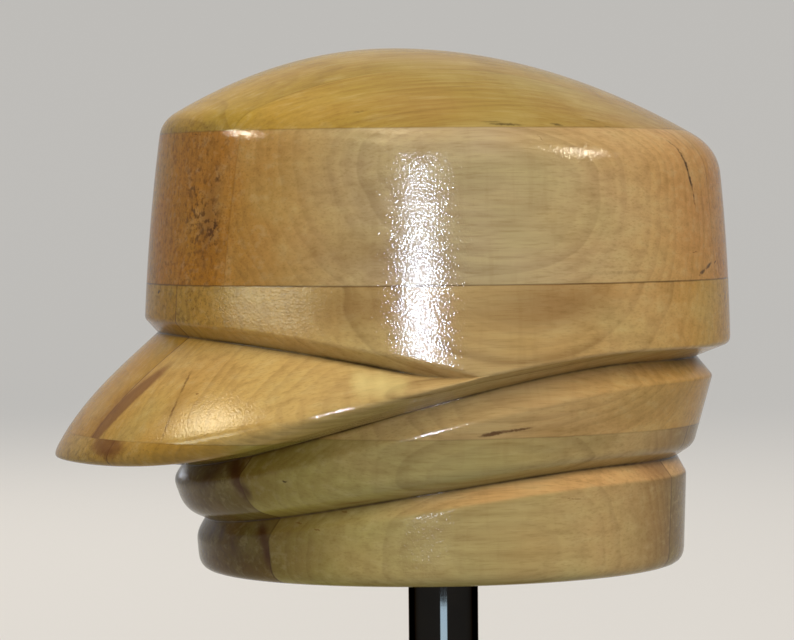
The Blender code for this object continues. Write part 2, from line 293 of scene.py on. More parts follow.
def column(turn):
    """The block's outline at one angle, from beside the dome's top down to the underside, and
    how far each point lies from the nearest groove."""
    half = turn if turn <= math.pi else 2.0 * math.pi - turn
    rim = oval(RIM_OUT, swept(*RIM_HEIGHTS, half, math.pi), turn, RIM_FORWARD)
    ridge = oval(CROWN_OUT, ridge_height(half), turn, CROWN_FORWARD)
    dome = domed(Vector((-DOME_TOP_FORWARD, 0.0, DOME_TOP)), rim)
    crown = swelling(rim, ridge, CROWN_BULGE, turn)
    rim_reach = swept(*RIM_REACHES, half, math.pi) + RIM_SIDE_REACH * math.sin(half) ** 2

    upper_groove = oval(UPPER_GROOVE_OUT, swept(*UPPER_GROOVE_HEIGHTS, half), turn)
    edge_out = CROWN_OUT + (visor_reach(half) if half < NOTCH_ANGLE else 0.0)
    edge = oval(edge_out, edge_height(half), turn, CROWN_FORWARD)
    thick = LIP_THINNEST + LIP_GAIN * wave(half / LIP_SWEEP)
    lip = oval(edge_out - LIP_IN, edge_height(half) - thick, turn, CROWN_FORWARD)
    lip = lip.lerp(edge.lerp(upper_groove, 0.3), wave(half / NOTCH_ANGLE) ** 2)
    band_ridge_height = swept(*BAND_RIDGE_HEIGHTS, half, BAND_RIDGE_SWEEP)
    band_ridge = oval(BAND_RIDGE_OUT, band_ridge_height, turn, BAND_RIDGE_FORWARD)
    band_edge = oval(BAND_EDGE_OUT, swept(*BAND_EDGE_HEIGHTS, half), turn, BAND_EDGE_FORWARD)
    lower_groove = oval(LOWER_GROOVE_OUT, swept(*LOWER_GROOVE_HEIGHTS, half), turn)
    base_ridge = oval(BASE_OUT, swept(*BASE_RIDGE_HEIGHTS, half), turn)
    bottom = oval(BASE_OUT - BASE_TAPER, 0.0, turn)
    inside = oval(BASE_OUT - BASE_TAPER - 4.0 * BASE_REACH, 0.0, turn)

    # The corners below the visor's edge: how far each is rounded, in how many rows, and the
    # rows on the wall under it
    corners = (
        (lip, LIP_REACH, 4, 3),
        (upper_groove, CREASE_REACH, CREASE_ROWS, 4),
        (band_ridge, swept(*BAND_RIDGE_REACHES, half), 6, 5),
        (band_edge, swept(*BAND_EDGE_REACHES, half), 8, 2),
        (lower_groove, CREASE_REACH, CREASE_ROWS, 2),
        (base_ridge, swept(*BASE_RIDGE_REACHES, half), 6, 4),
        (bottom, BASE_REACH, 6, 0),
    )
    outline = [edge] + [corner[0] for corner in corners] + [inside]
    soft = [
        rounded(before, corner, after, reach, rows)
        for before, (corner, reach, rows, _), after in zip(outline, corners, outline[2:])
    ]

    points = along(dome, 0.0, 1.0 - share_of(dome, rim_reach), DOME_ROWS)
    points += bend(dome, crown, rim_reach, RIM_ROWS)
    lowest = 1.0 - share_of(crown, crown_ridge_reach(half))
    points += along(crown, share_of(crown, rim_reach), lowest, WALL_ROWS)
    points += crown_and_visor(turn, half, crown, straight(edge, lip))
    for before, after, (_, _, _, rows) in zip(soft, soft[1:], corners):
        points += before
        points += [before[-1].lerp(after[0], (i + 1) / (rows + 1)) for i in range(rows)]
    points += soft[-1]
    creases = [upper_groove, lower_groove]
    from_groove = [min(beside(crease, point) for crease in creases) for point in points]
    if half < NOTCH_ANGLE:
        # The notch runs out to nothing at the side, so that nothing is darkened there
        crease = notch_crease(turn, half)
        shallow = NOTCH_RUN_OUT * max(0.0, 1.0 - (NOTCH_ANGLE - half) / NOTCH_FADE) ** 2
        from_groove = [min(d, beside(crease, point) + shallow) for d, point in zip(from_groove, points)]
    return points, from_groove


def column_angles():
    front = [NOTCH_ANGLE * i / FRONT_STEPS for i in range(FRONT_STEPS)]
    rear = [NOTCH_ANGLE + (math.pi - NOTCH_ANGLE) * i / REAR_STEPS for i in range(REAR_STEPS + 1)]
    left = front + rear
    return left + [2.0 * math.pi - turn for turn in left[-2:0:-1]]


def carved_form():
    """The whole carved block: a net whose points are drawn out to the outlines, and closed."""
    columns = [column(turn) for turn in column_angles()]
    columns.append(columns[0])
    rows = len(columns[0][0])
    bpy.ops.object.select_all(action="DESELECT")
    bpy.ops.mesh.primitive_grid_add(x_subdivisions=rows, y_subdivisions=len(columns) - 1, size=1.0)
    form = bpy.context.active_object
    form.name = "carved_form"
    apex = Vector((-DOME_TOP_FORWARD, 0.0, DOME_TOP))
    places, distances = [], []
    for line, from_groove in columns:
        distances += [FAR_FROM_GROOVES] + from_groove
        for point in [apex] + line:
            places += [point.x * MM, point.y * MM, BLOCK_BOTTOM + point.z * MM]
    form.data.vertices.foreach_set("co", places)
    form.data.attributes.new("from_groove", "FLOAT", "POINT").data.foreach_set("value", distances)
    bpy.ops.object.mode_set(mode="EDIT")
    bpy.ops.mesh.select_mode(type="VERT")
    bpy.ops.mesh.select_all(action="SELECT")
    bpy.ops.mesh.remove_doubles(threshold=0.004 * MM)
    bpy.ops.mesh.select_all(action="DESELECT")
    bpy.ops.mesh.select_non_manifold(extend=False, use_boundary=True)
    bpy.ops.mesh.edge_face_add()
    bpy.ops.mesh.select_all(action="SELECT")
    bpy.ops.mesh.normals_make_consistent(inside=False)
    bpy.ops.object.mode_set(mode="OBJECT")
    outer = form.vertex_groups.new(name="outer")
    outer.add(range(len(form.data.vertices)), 1.0, "REPLACE")
    bpy.ops.object.shade_smooth_by_angle(angle=math.radians(40.0))
    return form


def saw(board, place, axis, keep_above):
    """Cuts a board on a plane and closes the cut face."""
    across = Vector([1.0 if i == axis else 0.0 for i in range(3)])
    bpy.ops.object.mode_set(mode="EDIT")
    bpy.ops.mesh.select_all(action="SELECT")
    bpy.ops.mesh.bisect(
        plane_co=across * place, plane_no=across, use_fill=True,
        clear_inner=keep_above, clear_outer=not keep_above, threshold=0.00001 * MM,
    )
    bpy.ops.object.mode_set(mode="OBJECT")


def drill(board):
    """The bore for the post. The cutter starts below the block."""
    low, high = BLOCK_BOTTOM - 10.0 * MM, POST_HIGH.z + CLEARANCE
    bpy.ops.object.select_all(action="DESELECT")
    bpy.ops.mesh.primitive_cylinder_add(
        vertices=96, radius=POST_RADIUS + CLEARANCE, depth=high - low,
        location=(0.0, 0.0, (low + high) / 2.0),
    )
    cutter = bpy.context.active_object
    select_only(board)
    bore = board.modifiers.new("bore", "BOOLEAN")
    bore.operation = "DIFFERENCE"
    bore.solver = "EXACT"
    bore.object = cutter
    bpy.ops.object.modifier_apply(modifier=bore.name)
    bpy.data.objects.remove(cutter)


def cut_board(form, layer, place):
    select_only(form)
    bpy.ops.object.duplicate()
    board = bpy.context.active_object
    board.name = board.data.name = f"{layer}_board_{place}_wood"
    number = LAYERS.index(layer)
    low_seam, high_seam = SEAMS[layer]
    if number > 0:
        saw(board, GLUE_HEIGHTS[number - 1], 2, True)
    if number < 3:
        saw(board, GLUE_HEIGHTS[number], 2, False)
    if place != "left":
        saw(board, low_seam if place == "middle" else high_seam, 1, True)
    if place != "right":
        saw(board, low_seam if place == "left" else high_seam, 1, False)
    if place == "middle" and number < 2:
        drill(board)
    bpy.ops.object.shade_smooth_by_angle(angle=math.radians(40.0))
    shading = board.modifiers.new("shading of the whole form", "DATA_TRANSFER")
    shading.object = form
    shading.use_loop_data = True
    shading.data_types_loops = {"CUSTOM_NORMAL"}
    shading.loop_mapping = "POLYINTERP_NEAREST"
    shading.vertex_group = "outer"
    bpy.ops.object.modifier_apply(modifier=shading.name)
    return board


# The wood

# For each board: its shade at the front, middle and rear, where its pith runs beside the
# origin (y and z, in mm above the underside), how the pith leans in plan and in height
# (degrees), and its dark rings (distance from the pith in mm, strength).
# The base's end grain is dark partly of itself and partly as painted shade under the visor
END_GRAIN_AND_SHADE = {"base": "#64480A", "visor": "#BC8C26", "crown": "#C27F16", "dome": "#B08A28"}
END_GRAIN_DARK = "#4E300A"
BOARD_LOOKS = {
    "base_board_left": (
        "#B8A648", "#B4A26A", "#C4A26C", (-150.0, 8.0), (2.0, 1.5), [(71.0, 0.3), (83.0, 0.2)],
    ),
    # Its dark front shade is partly painted shade under the visor
    "base_board_middle": ("#735A16", "#A08A50", "#AC9056", (-10.0, -45.0), (0.0, 0.0), []),
    "base_board_right": (
        "#B0A048", "#B2A06A", "#C0A06A", (140.0, 30.0), (-3.0, 1.0), [(62.0, 0.3), (74.0, 0.4)],
    ),
    "visor_board_left": (
        "#CEAA62", "#C2A670", "#C89E60", (-162.0, 125.0), (3.4, 0.0),
        [(64.5, 0.35), (71.3, 0.6), (79.0, 0.7), (86.0, 0.35)],
    ),
    "visor_board_middle": ("#B08218", "#BC9C56", "#BE985A", (8.0, 10.0), (0.5, 2.0), [(84.0, 0.3)]),
    "visor_board_right": (
        "#C49C4C", "#BA9E66", "#BE9858", (150.0, 110.0), (-2.0, 1.0),
        [(66.0, 0.5), (75.0, 0.7), (90.0, 0.3)],
    ),
    # The crown boards' middle shades are paler and greyer than their ends: partly their own tone, partly
    # painted sheen where the lacquer spreads the key light's highlight
    "crown_board_left": (
        "#C2A25E", "#BAA680", "#CEA86E", (-168.0, 160.0), (-4.2, -8.0),
        [(71.2, 0.3), (77.3, 0.4), (79.8, 0.3), (82.9, 0.4), (89.5, 0.3)],
    ),
    "crown_board_middle": ("#B07C20", "#B29660", "#BC9450", (75.0, 150.0), (0.0, 0.0), []),
    "crown_board_right": (
        "#BC9C5A", "#BAA47C", "#CAA46C", (165.0, 150.0), (4.0, 9.0),
        [(64.0, 0.25), (73.0, 0.35), (86.0, 0.3)],
    ),
    "dome_board_left": (
        "#BE9A30", "#A68C46", "#A6864A", (-130.0, 120.0), (3.0, 4.0), [(70.0, 0.3), (78.0, 0.3)],
    ),
    "dome_board_middle": (
        "#BA9636", "#A68C46", "#A48648", (-20.0, 130.0), (-2.0, 3.0), [(66.0, 0.3), (72.0, 0.4)],
    ),
    "dome_board_right": (
        "#C49C34", "#AC8E44", "#A68648", (120.0, 120.0), (-2.0, 3.0), [(64.0, 0.3), (79.0, 0.4)],
    ),
}

# Marks on the boards: each a line between two points (mm, heights above the underside), with
# its half width in mm, its softness, its strength and its colour. Most are cracks, flecks and
# stains. A few broad ones are painted shade, and the pale patch on the visor is a painted
# reflection.
# STAIN_AND_SHADE and DIRT_AND_SHADE colour real stains and dirt, and the broad marks of painted shade
CRACK, BARK, STAIN_AND_SHADE, DIRT_AND_SHADE, PAINTED_REFLECTION = "#381C06", "#4E280E", "#74481A", "#5A4A28", "#E6D692"
AMBER, SPECKS = "#6E3C04", "#3A2008"
VISOR_STAIN = [
    ((-116.0, -39.3, 83.0), (-149.0, -33.0, 53.0), 5.8, 0.35, 0.75, AMBER),
    ((-119.0, -34.0, 81.0), (-147.0, -26.0, 55.0), 7.5, 1.0, 0.50, AMBER),
]
LIP_STAIN = [
    ((-144.0, -37.0, 54.5), (-137.2, -53.4, 53.4), 5.6, 0.5, 0.75, AMBER),
    ((-141.8, -42.0, 51.5), (-139.2, -50.5, 50.8), 4.6, 0.9, 0.60, AMBER),
]
MARKS = {
    "visor_board_left": VISOR_STAIN + [
        ((-109.0, -52.0, 84.0), (-117.0, -62.0, 71.6), 1.00, 1.0, 0.75, BARK),
        ((-115.8, -60.4, 74.0), (-121.4, -67.2, 63.2), 1.00, 1.0, 0.75, BARK),
        ((-120.0, -65.6, 66.2), (-124.8, -70.6, 55.6), 0.90, 1.0, 0.70, BARK),
        ((-110.8, -66.0, 74.6), (-109.4, -67.0, 74.0), 0.60, 0.6, 0.6, STAIN_AND_SHADE),
        ((-9.0, -91.8, 57.6), (2.5, -92.2, 59.4), 1.15, 0.6, 0.85, BARK),
        ((-1.0, -92.0, 58.9), (13.0, -91.0, 60.6), 0.80, 0.6, 0.8, BARK),
        # Painted reflection: a pale, soft-edged patch on the visor's top, where a light is mirrored
        ((-53.5, -92.0, 81.6), (-54.3, -100.0, 75.6), 6.4, 1.0, 0.60, PAINTED_REFLECTION),
        ((-46.5, -94.5, 81.2), (-48.0, -102.0, 75.4), 6.4, 1.0, 0.60, PAINTED_REFLECTION),
        ((-40.0, -97.0, 80.6), (-42.5, -103.0, 75.8), 6.0, 1.0, 0.45, PAINTED_REFLECTION),
        # Painted shade: broad darker bands on the lower crown wall, above the ridge
        ((-84.0, -78.0, 108.0), (-20.0, -98.0, 104.0), 15.0, 1.0, 0.46, STAIN_AND_SHADE),
        ((-20.0, -100.0, 106.0), (50.0, -96.0, 108.0), 15.0, 1.0, 0.56, STAIN_AND_SHADE),
        # Painted shade on the band, where its faces lean down
        ((10.0, -91.0, 58.0), (95.0, -54.0, 72.0), 11.0, 1.0, 0.34, DIRT_AND_SHADE),
        ((-113.0, -60.0, 77.0), (-124.0, -68.0, 58.0), 7.0, 1.0, 0.25, STAIN_AND_SHADE),
    ],
    "visor_board_middle": VISOR_STAIN + [
        ((-116.2, -16.8, 111.4), (-116.2, -15.2, 110.8), 0.80, 0.5, 0.9, CRACK),
    ],
    "crown_board_left": [
        ((71.0, -69.4, 168.4), (76.8, -68.1, 164.9), 0.80, 1.0, 0.80, CRACK),
        ((76.0, -67.9, 165.4), (79.6, -68.2, 160.2), 1.05, 0.7, 0.90, CRACK),
        ((79.1, -68.2, 161.4), (81.7, -67.8, 154.6), 1.20, 0.7, 0.95, CRACK),
        ((81.2, -67.9, 156.2), (83.5, -66.9, 148.6), 1.20, 0.7, 0.95, CRACK),
        ((83.1, -67.0, 150.2), (84.9, -66.3, 141.0), 0.80, 1.0, 0.85, CRACK),
        ((85.2, -68.2, 115.8), (90.1, -63.1, 118.5), 0.95, 0.7, 0.85, CRACK),
        ((89.6, -63.6, 118.2), (93.8, -58.9, 120.6), 1.05, 0.7, 0.85, CRACK),
        # Painted shade: a broad darker band on the lower crown wall
        ((-78.0, -82.0, 128.0), (-20.0, -98.0, 124.0), 11.0, 1.0, 0.32, STAIN_AND_SHADE),
        ((80.5, -71.6, 124.6), (86.0, -67.2, 125.0), 0.35, 0.8, 0.60, BARK),
        ((13.6, -92.7, 170.2), (16.2, -94.3, 166.9), 0.30, 0.7, 0.60, BARK),
        ((-96.0, -57.0, 121.0), (-62.0, -84.0, 117.0), 2.6, 1.0, 0.55, STAIN_AND_SHADE),
        ((-88.0, -66.0, 118.0), (-64.0, -84.0, 127.0), 2.2, 1.0, 0.35, STAIN_AND_SHADE),
        ((-60.0, -85.0, 116.5), (10.0, -101.0, 116.0), 1.6, 1.0, 0.40, DIRT_AND_SHADE),
        ((15.0, -101.0, 116.0), (80.0, -73.0, 117.0), 2.0, 1.0, 0.50, DIRT_AND_SHADE),
        ((30.0, -98.0, 117.6), (62.0, -86.0, 118.0), 1.3, 1.0, 0.40, DIRT_AND_SHADE),
    ],
    "crown_board_middle": [
        ((91.0, -62.0, 117.0), (98.0, -53.0, 122.0), 0.60, 0.5, 0.8, CRACK),
        ((-99.5, -49.0, 159.0), (-98.8, -50.4, 151.0), 1.9, 0.9, 0.85, SPECKS),
        ((-101.6, -46.0, 152.0), (-100.4, -50.0, 122.0), 6.5, 1.0, 0.90, SPECKS),
        ((-105.0, -38.0, 160.0), (-103.0, -42.0, 120.0), 11.0, 1.0, 0.65, SPECKS),
        ((-100.0, -50.0, 141.0), (-99.4, -51.4, 130.0), 3.0, 1.0, 0.95, SPECKS),
        ((-98.0, -48.0, 160.0), (-103.0, -46.0, 117.0), 9.0, 1.0, 0.45, STAIN_AND_SHADE),
        ((-106.0, -31.0, 171.5), (-101.5, -40.0, 171.2), 0.50, 0.8, 0.70, CRACK),
    ],
    "dome_board_left": [
        ((-6.5, -92.0, 173.7), (11.0, -91.0, 173.1), 0.95, 0.8, 0.85, DIRT_AND_SHADE),
        ((-8.0, -91.2, 174.4), (3.0, -90.8, 174.5), 0.80, 1.0, 0.55, DIRT_AND_SHADE),
        ((20.5, -88.6, 174.0), (26.0, -88.2, 173.1), 0.95, 0.9, 0.80, DIRT_AND_SHADE),
        ((36.0, -81.0, 175.8), (42.5, -80.0, 174.6), 0.80, 1.0, 0.55, DIRT_AND_SHADE),
        ((43.5, -81.6, 173.0), (47.0, -80.4, 172.9), 0.60, 1.0, 0.55, DIRT_AND_SHADE),
        ((-54.0, -78.4, 178.4), (-47.5, -79.3, 178.9), 0.90, 1.0, 0.60, DIRT_AND_SHADE),
    ],
    "base_board_left": LIP_STAIN + [
        ((-90.6, -48.6, 40.0), (-87.4, -49.6, 33.2), 3.6, 1.0, 0.80, BARK),
        ((-71.2, -55.2, 24.2), (-68.9, -57.2, 23.6), 0.60, 0.6, 0.6, STAIN_AND_SHADE),
        ((-65.6, -61.7, 22.0), (-63.4, -63.9, 21.6), 0.55, 0.6, 0.6, STAIN_AND_SHADE),
        ((-55.4, -65.8, 28.8), (-53.4, -67.0, 28.4), 0.55, 0.6, 0.6, STAIN_AND_SHADE),
        ((-77.3, -62.9, 40.6), (-76.3, -63.7, 40.2), 0.60, 0.5, 0.85, CRACK),
        ((22.2, -81.6, 33.3), (38.6, -77.0, 31.4), 0.45, 0.8, 0.7, STAIN_AND_SHADE),
        ((-62.0, -66.0, 31.0), (-40.0, -76.0, 34.0), 1.6, 1.0, 0.40, STAIN_AND_SHADE),
        # Painted shade on the band, where its faces lean down
        ((58.0, -64.0, 41.0), (92.0, -40.0, 40.0), 8.0, 1.0, 0.60, STAIN_AND_SHADE),
        ((0.0, -89.0, 54.0), (60.0, -78.0, 54.0), 7.0, 1.0, 0.30, DIRT_AND_SHADE),
    ],
    "base_board_middle": LIP_STAIN + [
        ((-92.8, -41.0, 46.5), (-91.0, -47.0, 40.5), 6.5, 1.0, 0.90, BARK),
        ((-91.4, -46.0, 42.0), (-88.4, -48.4, 34.0), 5.5, 1.0, 0.90, BARK),
        ((-82.2, -42.4, 22.6), (-81.6, -46.5, 17.0), 5.0, 1.0, 0.90, BARK),
        ((-81.4, -46.8, 18.0), (-79.8, -48.2, 6.0), 4.2, 1.0, 0.90, BARK),
        ((-98.0, -33.0, 43.5), (-101.4, -29.0, 38.0), 9.0, 1.0, 0.70, BARK),
        ((-95.4, -12.0, 22.0), (-96.0, -14.0, 14.0), 4.0, 1.0, 0.70, BARK),
        ((-93.4, -20.8, 21.2), (-94.0, -23.0, 15.0), 3.0, 1.0, 0.70, BARK),
        ((-92.2, -31.0, 18.0), (-90.2, -33.0, 9.0), 3.6, 1.0, 0.60, BARK),
    ],
}


def mark_strength(tree, place, start, end, half_width, softness):
    """How strongly a mark colours a point: a spindle that tapers to both ends."""
    low, high = [Vector(point) * MM + Vector((0.0, 0.0, BLOCK_BOTTOM)) for point in (start, end)]
    length = high - low
    thick = half_width * MM
    inside = add(
        tree, "Mapping",
        {
            "Vector": place, "Location": (low + high) / 2.0,
            "Rotation": length.to_track_quat("X", "Z").to_euler(),
            "Scale": (length.length / 2.0 + thick, thick, thick),
        },
        vector_type="TEXTURE",
    )
    away = add(tree, "VectorMath", {0: inside}, operation="LENGTH").outputs["Value"]
    return add(
        tree, "MapRange",
        {"Value": away, "From Min": 1.0 - softness, "From Max": 1.0, "To Min": 1.0, "To Max": 0.0},
        **SMOOTH,
    )


# The wood's patterns: their size along the grain and across it in mm, and their detail.
# Lime's fibres and pores are at most 0.1 mm across, too fine to show, so the fibre and mottle
# patterns are drawn 0.75 and 2.2 mm across.
PATTERNS = {
    "wander": (90.0, 34.0, 2.0),
    "cloud": (48.0, 24.0, 3.0),
    "tint": (70.0, 36.0, 2.0),
    "streak": (50.0, 3.2, 3.0),
    "fibre": (14.0, 0.75, 3.0),
    "ripple": (3.4, 26.0, 2.0),
    "mottle": (3.0, 2.2, 4.0),
}

# Tones that the patterns lay over the wood: strength, the pattern's bounds, tone, pattern
PATTERN_TONES = (
    (0.20, 0.50, 0.72, "#A07A34", "cloud"), (0.24, 0.50, 0.30, "#CAB87C", "cloud"),
    (0.16, 0.50, 0.70, "#B8845A", "tint"), (0.18, 0.50, 0.32, "#A09C56", "tint"),
    (0.30, 0.50, 0.74, "#846430", "streak"), (0.22, 0.48, 0.28, "#D2BE88", "streak"),
    (0.26, 0.50, 0.72, "#7A5C26", "fibre"), (0.10, 0.52, 0.70, "#8A6834", "ripple"),
)

# Year rings are 3 mm apart, and faint. A dark one comes up slowly and ends sharply.
RING_SPACING, RING_STRENGTH, RING_TONE = 3.0, 0.26, "#5E3A14"
DARK_RING_RISE, DARK_RING_FALL = 2.6, 0.7

# Darkening by the grooves, partly pooled lacquer and dirt in the creases, partly painted shade:
# how far from the crease (mm), its strength and its tone
CREASE_SHADE_AND_DIRT = ((9.0, 0.48, "#74561E"), (4.0, 0.50, "#503610"), (2.8, 0.85, "#2A1A08"))

# How strongly the glue lines show: between the layers, from the lowest up, and the seams in
# each layer. The one under the crown shows most.
LEVEL_GLUE = (0.26, 0.80, 0.30)
SEAM_GLUE = {"base": 0.75, "visor": 0.75, "crown": 0.22, "dome": 0.22}
GLUE_TONE = "#4E3514"

# The pale tones of the visor's lip, partly its own and partly painted light thrown up from
# below, and of the base's slopes that face up, which is painted light from above
LIP_AND_BOUNCE_TONE, PAINTED_TOP_LIGHT_TONE = "#BA8E34", "#E0B070"


def lacquered_lime(node):
    """Lime, glued up, carved and sanded, under gloss lacquer that has yellowed: pale tan along
    the grain, with faint rings and fibres, browner and specked where the grain runs out at the
    ends, and darker by the grooves, where lacquer pooled and dirt gathered, with painted shade
    on the slopes above them. On the base the ends are darker still with painted shade under the
    visor. The lacquer gives sharp lights with a sparkle at their edges."""
    front, middle, rear, pith, lean, dark_rings = BOARD_LOOKS[node]
    layer, _, side = node.split("_")
    number = LAYERS.index(layer)
    made, tree, shader = new_finish(f"lacquered_lime_{node}")
    place = add(tree, "TexCoord")
    at = place.outputs["Object"]
    spot = add(tree, "SeparateXYZ", {0: at})
    facing = add(tree, "SeparateXYZ", {0: place.outputs["Normal"]})

    # Millimetres, shifted so that no two boards are alike
    shift = 53.0 * (number * 3 + PLACES.index(side) + 1)
    shifted = add(
        tree, "VectorMath", {0: at, 1: (1.0 / MM,) * 3, 2: (shift,) * 3}, operation="MULTIPLY_ADD"
    )
    pattern = {}
    for name, (along_grain, across_grain, detail) in PATTERNS.items():
        size = (1.0 / along_grain, 1.0 / across_grain, 1.0 / across_grain)
        drawn = add(tree, "VectorMath", {0: shifted, 1: size}, operation="MULTIPLY")
        pattern[name] = add(
            tree, "TexNoise", {"Vector": drawn, "Scale": 1.0, "Detail": detail, "Roughness": 0.55}
        )

    # The shade changes along the grain, over wavy bounds; the crown's paler middle holds painted
    # sheen too
    wavy = add(
        tree, "Math", {0: pattern["cloud"], 1: 60.0 * MM, 2: spot.outputs["X"]},
        operation="MULTIPLY_ADD",
    )
    share = add(tree, "MapRange", {"Value": wavy, "From Min": -80.0 * MM, "From Max": 110.0 * MM})
    shades = add(tree, "ValToRGB", {0: share})
    shades.color_ramp.interpolation = "EASE"
    shades.color_ramp.elements[0].color = colour(front)
    shades.color_ramp.elements[1].color = colour(rear)
    shades.color_ramp.elements.new(0.48).color = colour(middle)

    # The tones that go over that shade, each with its strength, are listed in `over`. The
    # first: browner the more the surface cuts across the grain, and on the base also painted shade
    # under the visor
    ends = add(tree, "Math", {0: facing.outputs["X"]}, operation="ABSOLUTE")
    slant = add(
        tree, "MapRange", {"Value": ends, "From Min": 0.35, "From Max": 0.92, "To Max": 0.85}, **SMOOTH
    )
    over = [(slant, END_GRAIN_AND_SHADE[layer])]

    # The visor's lip, which the base boards reach up into, is as pale as the visor, and paler still
    # with painted light thrown up from below. The slopes that face up at the sides and rear are
    # lighter too: painted light from above
    if layer == "base":
        lip_start = -108.0 * MM if side == "middle" else -93.0 * MM
        lip = add(
            tree, "MapRange",
            {"Value": spot.outputs["X"], "From Min": lip_start, "From Max": lip_start - 14.0 * MM},
            **SMOOTH,
        )
        upward = add(
            tree, "MapRange",
            {"Value": facing.outputs["Z"], "From Min": 0.20, "From Max": 0.48, "To Max": 0.80},
        )
        behind = add(
            tree, "MapRange", {"Value": spot.outputs["X"], "From Min": -50.0 * MM, "From Max": 0.0}
        )
        painted_top_light = add(tree, "Math", {0: upward, 1: behind}, operation="MULTIPLY")
        over += [(lip, LIP_AND_BOUNCE_TONE), (painted_top_light, PAINTED_TOP_LIGHT_TONE)]

    for amount, low, high, tone, name in PATTERN_TONES:
        strength = add(
            tree, "MapRange",
            {"Value": pattern[name], "From Min": low, "From Max": high, "To Max": amount},
        )
        over.append((strength, tone))

    # Rings round the pith, faint but for the dark ones
    from_pith = add(
        tree, "Mapping",
        {
            "Vector": at, "Location": (0.0, pith[0] * MM, BLOCK_BOTTOM + pith[1] * MM),
            "Rotation": (0.0, -math.radians(lean[1]), math.radians(lean[0])),
            "Scale": (MM, MM, MM),
        },
        vector_type="TEXTURE",
    )
    astray = add(
        tree, "VectorMath", {0: pattern["wander"].outputs["Color"], 1: HALF}, operation="SUBTRACT"
    )
    bent = add(
        tree, "VectorMath", {0: astray, 1: (7.0, 7.0, 7.0), 2: from_pith}, operation="MULTIPLY_ADD"
    )
    flat = add(tree, "VectorMath", {0: bent, 1: (0.0, 1.0, 1.0)}, operation="MULTIPLY")
    radius = add(tree, "VectorMath", {0: flat}, operation="LENGTH").outputs["Value"]
    years = add(tree, "Math", {0: radius, 1: RING_SPACING}, operation="DIVIDE")
    year = add(tree, "Math", {0: years}, operation="FLOOR")
    season = add(tree, "Math", {0: years}, operation="FRACT")
    luck = add(tree, "TexWhiteNoise", {"W": year}, noise_dimensions="1D")
    late = add(
        tree, "MapRange",
        {"Value": season, "From Min": 0.2, "From Max": 0.9, "To Max": RING_STRENGTH},
        **SMOOTH,
    )
    early = add(
        tree, "MapRange",
        {"Value": season, "From Min": 0.9, "From Max": 1.0, "To Min": 1.0, "To Max": 0.0},
    )
    ring = add(tree, "Math", {0: late, 1: early}, operation="MULTIPLY")
    ring = add(tree, "Math", {0: ring, 1: luck.outputs["Value"]}, operation="MULTIPLY")
    for distance, amount in dark_rings:
        rise = add(
            tree, "MapRange",
            {
                "Value": radius, "From Min": distance - DARK_RING_RISE, "From Max": distance,
                "To Max": 0.85 * amount,
            },
            interpolation_type="SMOOTHERSTEP",
        )
        fall = add(
            tree, "MapRange",
            {
                "Value": radius, "From Min": distance, "From Max": distance + DARK_RING_FALL,
                "To Min": 1.0, "To Max": 0.0,
            },
        )
        line = add(tree, "Math", {0: rise, 1: fall}, operation="MULTIPLY")
        line = add(tree, "Math", {0: line, 1: 1.6}, operation="POWER")
        ring = add(tree, "Math", {0: ring, 1: line}, operation="MAXIMUM")
    broken = add(
        tree, "MapRange",
        {"Value": pattern["cloud"], "From Min": 0.34, "From Max": 0.56, "To Min": 0.35},
    )
    ring = add(tree, "Math", {0: ring, 1: broken}, operation="MULTIPLY")
    over.append((ring, RING_TONE))

    # Specks and short dark lines in the end grain
    end = add(tree, "MapRange", {"Value": ends, "From Min": 0.66, "From Max": 0.90}, **SMOOTH)
    for amount, low, high, name in ((0.42, 0.50, 0.66, "mottle"), (0.55, 0.58, 0.74, "fibre")):
        speck = add(
            tree, "MapRange",
            {"Value": pattern[name], "From Min": low, "From Max": high, "To Max": amount},
        )
        speck = add(tree, "Math", {0: speck, 1: end}, operation="MULTIPLY")
        over.append((speck, END_GRAIN_DARK))

    # Darker by the grooves: lacquer that pooled in them and dirt in their creases, with painted
    # shade on the slopes above, and unsteady bounds
    groove = add(tree, "Attribute", attribute_name="from_groove")
    unsteady = groove.outputs["Fac"]
    for name, swing in (("cloud", 2.4), ("mottle", 0.8)):
        unsteady = add(
            tree, "Math", {0: pattern[name], 1: swing, 2: unsteady}, operation="MULTIPLY_ADD"
        )
    for reach, amount, tone in CREASE_SHADE_AND_DIRT:
        crease_shade_and_dirt = add(
            tree, "MapRange",
            {"Value": unsteady, "From Min": 1.0, "From Max": reach, "To Min": amount, "To Max": 0.0},
            **SMOOTH,
        )
        over.append((crease_shade_and_dirt, tone))

    # The glue lines
    planes = [("Z", GLUE_HEIGHTS[i], LEVEL_GLUE[i]) for i in (number - 1, number) if 0 <= i < 3]
    if side != "right":
        planes.append(("Y", SEAMS[layer][0], SEAM_GLUE[layer]))
    if side != "left":
        planes.append(("Y", SEAMS[layer][1], SEAM_GLUE[layer]))
    fade = add(
        tree, "MapRange",
        {"Value": pattern["cloud"], "From Min": 0.38, "From Max": 0.58, "To Min": 0.5},
    )
    for axis, height, amount in planes:
        off = add(tree, "Math", {0: spot.outputs[axis], 1: height}, operation="SUBTRACT")
        off = add(tree, "Math", {0: off}, operation="ABSOLUTE")
        line = add(
            tree, "MapRange",
            {
                "Value": off, "From Min": 0.12 * MM, "From Max": 0.50 * MM,
                "To Min": amount, "To Max": 0.0,
            },
            **SMOOTH,
        )
        line = add(tree, "Math", {0: line, 1: fade}, operation="MULTIPLY")
        over.append((line, GLUE_TONE))

